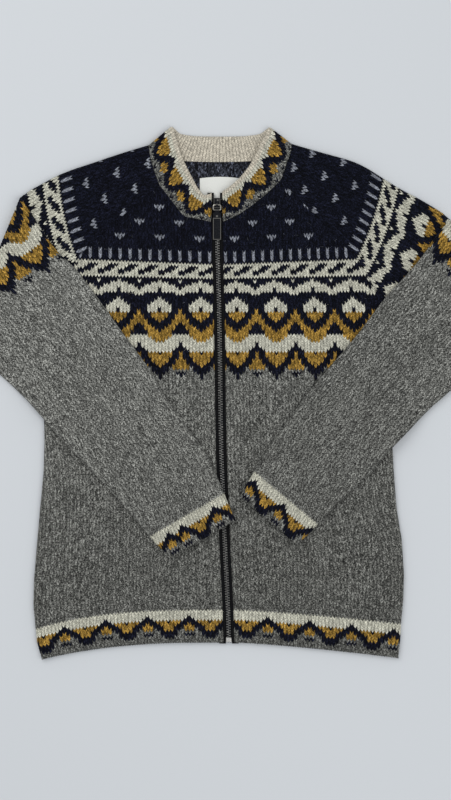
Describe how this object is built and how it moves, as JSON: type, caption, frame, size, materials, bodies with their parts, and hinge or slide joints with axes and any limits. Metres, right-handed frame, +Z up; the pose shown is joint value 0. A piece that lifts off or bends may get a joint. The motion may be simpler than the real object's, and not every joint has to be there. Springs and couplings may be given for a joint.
{
  "type": "cardigan",
  "caption": "Stranded-knit wool zip cardigan with a patterned yoke, stand collar and bordered hem and cuffs, laid flat with its sleeves folded over the front.",
  "frame": {"origin": "centre of the garment's box, on the surface that it lies on", "axes": "+Z up from that surface, +Y from hem to collar, +X to the right as seen from above"},
  "size_m": [0.702, 0.7221, 0.0161],
  "materials": {
    "marl_knit": "grey marl wool knit",
    "cream_knit": "cream wool knit",
    "woven_label": "woven satin",
    "zip_tape": "woven tape",
    "gunmetal": "dark plated",
    "nickel": "bright plated"
  },
  "bodies": {
    "root": {"back": "marl_knit", "front_left": "marl_knit", "front_right": "marl_knit", "sleeve_left": "marl_knit", "sleeve_right": "marl_knit", "collar": "cream_knit", "neck_label": "woven_label", "zip_tape_left": "zip_tape", "zip_tape_right": "zip_tape", "zip_chain": "gunmetal", "zip_bottom_box": "nickel", "zip_slider": "gunmetal"},
    "pull_link": {"zip_pull_link": "gunmetal"},
    "pull_tab": {"zip_pull_tab": "gunmetal"}
  },
  "joints": [
    {"name": "link_hinge", "type": "hinge", "parent": "root", "child": "pull_link", "pos_m": [-0.0088, 0.25429, 0.00991], "axis": [-1, 0, 0], "range_deg": [0, 110]},
    {"name": "tab_hinge", "type": "hinge", "parent": "pull_link", "child": "pull_tab", "pos_m": [-0.0088, 0.2476, 0.0088], "axis": [-1, 0, 0], "range_deg": [0, 70]}
  ]
}
